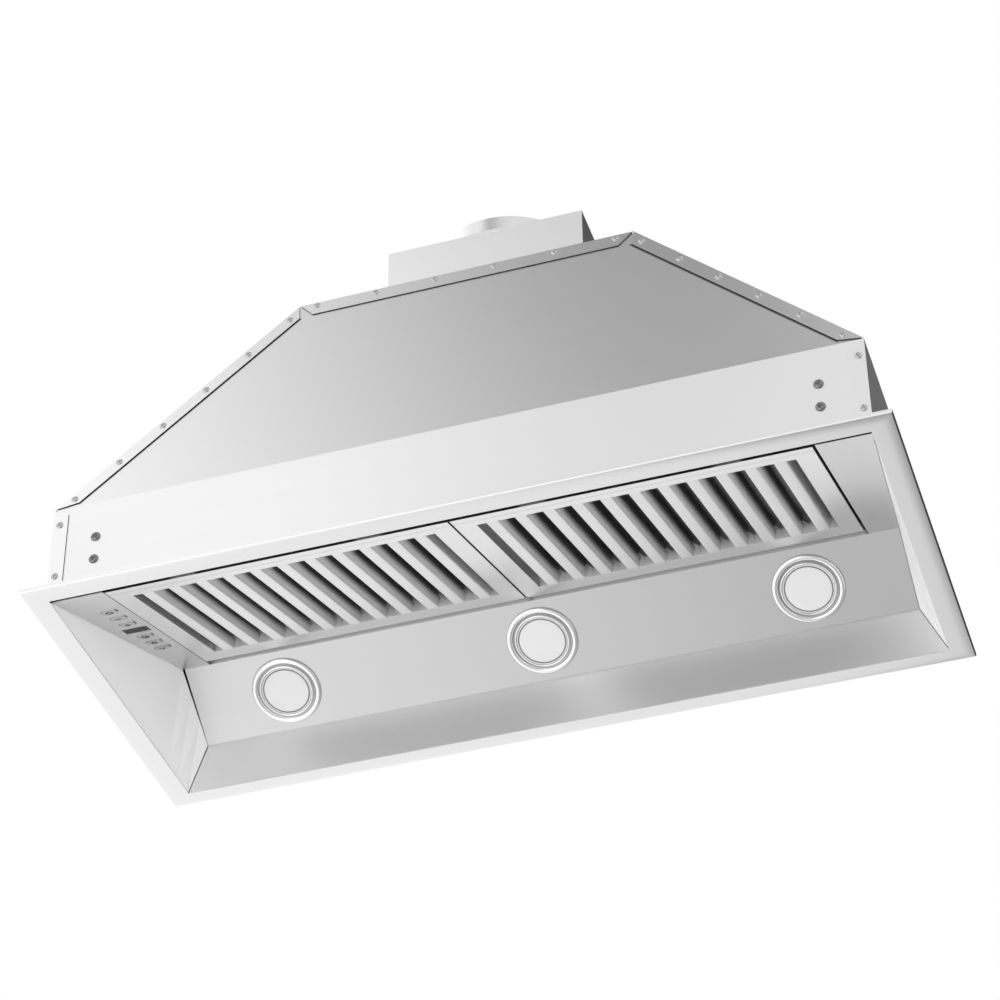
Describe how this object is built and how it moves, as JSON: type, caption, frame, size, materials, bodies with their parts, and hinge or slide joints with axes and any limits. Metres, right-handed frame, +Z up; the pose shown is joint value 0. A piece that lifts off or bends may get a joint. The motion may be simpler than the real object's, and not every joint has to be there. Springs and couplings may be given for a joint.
{
  "type": "range hood insert",
  "caption": "Built-in range hood insert: folded steel shell over a flat trim rim, tilted baffle filters, lamp panel, key strip and top blower box with round duct collar.",
  "frame": {"origin": "middle of the trim rim's outline, on the plane of its underside", "axes": "+X along the width to the side without keys, +Y towards the lamp side, +Z up towards the duct"},
  "size_m": [1.016, 0.468, 0.599],
  "materials": {
    "rim_steel": "brushed along its length",
    "shell_steel": "brushed across the width",
    "side_steel": "brushed, folded ends and top",
    "liner_steel": "brushed, recess walls",
    "panel_steel": "brushed, recess panels",
    "filter_steel": "brushed filter frame",
    "baffle_steel": "bright rolled baffle",
    "rear_baffle_steel": "bright rolled baffle, seen through the slots",
    "galvanised_sheet": "hot-dip galvanised sheet",
    "spring_steel": "plain spring strip",
    "box_steel": "brushed blower box",
    "collar_steel": "rolled duct collar",
    "pin_steel": "turned pin and shaft",
    "flap_aluminium": "mill-finish sheet",
    "lamp_ring": "satin ring",
    "lamp_lens": "frosted diffuser",
    "lamp_heatsink": "die-cast can",
    "key_metal": "satin key cap",
    "display_glass": "dark window",
    "circuit_board": "solder mask",
    "black_plastic": "moulded housing",
    "driver_case": "moulded case",
    "motor_case": "dark enamel",
    "screw_zinc": "bright zinc",
    "screw_dark": "dark zinc"
  },
  "bodies": {
    "hood": {"trim_flange": "rim_steel", "front_panel": "shell_steel", "back_panel": "shell_steel", "left_side_panel": "side_steel", "right_side_panel": "side_steel", "top_panel": "side_steel", "left_liner_wall": "liner_steel", "right_liner_wall": "liner_steel", "rear_liner_wall": "liner_steel", "light_panel": "panel_steel", "control_panel": "panel_steel", "blank_panel": "panel_steel", "left_bracket": "galvanised_sheet", "right_bracket": "galvanised_sheet", "filter_catches": "spring_steel", "left_lamp_trim": "lamp_ring", "middle_lamp_trim": "lamp_ring", "right_lamp_trim": "lamp_ring", "left_lamp_lens": "lamp_lens", "middle_lamp_lens": "lamp_lens", "right_lamp_lens": "lamp_lens", "left_lamp_can": "lamp_heatsink", "middle_lamp_can": "lamp_heatsink", "right_lamp_can": "lamp_heatsink", "display_window": "display_glass", "control_board": "circuit_board", "control_housing": "black_plastic", "lamp_driver": "driver_case", "blower_box": "box_steel", "duct_collar": "collar_steel", "damper_pin": "pin_steel", "scroll_band": "galvanised_sheet", "left_scroll_plate": "galvanised_sheet", "right_scroll_plate": "galvanised_sheet", "blower_motor": "motor_case", "motor_bracket": "galvanised_sheet", "junction_box": "galvanised_sheet", "junction_cover": "galvanised_sheet", "seam_screws": "screw_zinc", "band_screws": "screw_dark", "box_screws": "screw_zinc"},
    "left_filter": {"left_filter_frame": "filter_steel", "left_filter_front_baffles": "baffle_steel", "left_filter_rear_baffles": "rear_baffle_steel"},
    "right_filter": {"right_filter_frame": "filter_steel", "right_filter_front_baffles": "baffle_steel", "right_filter_rear_baffles": "rear_baffle_steel"},
    "wheel": {"blower_wheel": "galvanised_sheet", "motor_shaft": "pin_steel"},
    "front_flap": {"front_damper_flap": "flap_aluminium"},
    "rear_flap": {"rear_damper_flap": "flap_aluminium"},
    "key_1_cap": {"key_1": "key_metal"},
    "key_2_cap": {"key_2": "key_metal"},
    "key_3_cap": {"key_3": "key_metal"},
    "key_4_cap": {"key_4": "key_metal"},
    "key_5_cap": {"key_5": "key_metal"},
    "key_6_cap": {"key_6": "key_metal"}
  },
  "joints": [
    {"name": "left_filter_hinge", "type": "hinge", "parent": "hood", "child": "left_filter", "pos_m": [0, 0.0988, 0.12508], "axis": [1, 0, 0], "range_deg": [0, 35]},
    {"name": "right_filter_hinge", "type": "hinge", "parent": "hood", "child": "right_filter", "pos_m": [0, 0.0988, 0.12508], "axis": [1, 0, 0], "range_deg": [0, 35]},
    {"name": "wheel_spin", "type": "hinge", "parent": "hood", "child": "wheel", "pos_m": [0, 0.10025, 0.33], "axis": [1, 0, 0], "continuous": true},
    {"name": "front_flap_hinge", "type": "hinge", "parent": "hood", "child": "front_flap", "pos_m": [0, 0.0415, 0.577], "axis": [-1, 0, 0], "range_deg": [0, 75]},
    {"name": "rear_flap_hinge", "type": "hinge", "parent": "hood", "child": "rear_flap", "pos_m": [0, 0.0415, 0.577], "axis": [1, 0, 0], "range_deg": [0, 75]},
    {"name": "key_1_press", "type": "slide", "parent": "hood", "child": "key_1_cap", "axis": [0, -0.3361, 0.9418], "range_m": [0, 0.001], "stiffness_N_per_m": 800},
    {"name": "key_2_press", "type": "slide", "parent": "hood", "child": "key_2_cap", "axis": [0, -0.3361, 0.9418], "range_m": [0, 0.001], "stiffness_N_per_m": 800},
    {"name": "key_3_press", "type": "slide", "parent": "hood", "child": "key_3_cap", "axis": [0, -0.3361, 0.9418], "range_m": [0, 0.001], "stiffness_N_per_m": 800},
    {"name": "key_4_press", "type": "slide", "parent": "hood", "child": "key_4_cap", "axis": [0, -0.3361, 0.9418], "range_m": [0, 0.001], "stiffness_N_per_m": 800},
    {"name": "key_5_press", "type": "slide", "parent": "hood", "child": "key_5_cap", "axis": [0, -0.3361, 0.9418], "range_m": [0, 0.001], "stiffness_N_per_m": 800},
    {"name": "key_6_press", "type": "slide", "parent": "hood", "child": "key_6_cap", "axis": [0, -0.3361, 0.9418], "range_m": [0, 0.001], "stiffness_N_per_m": 800}
  ]
}
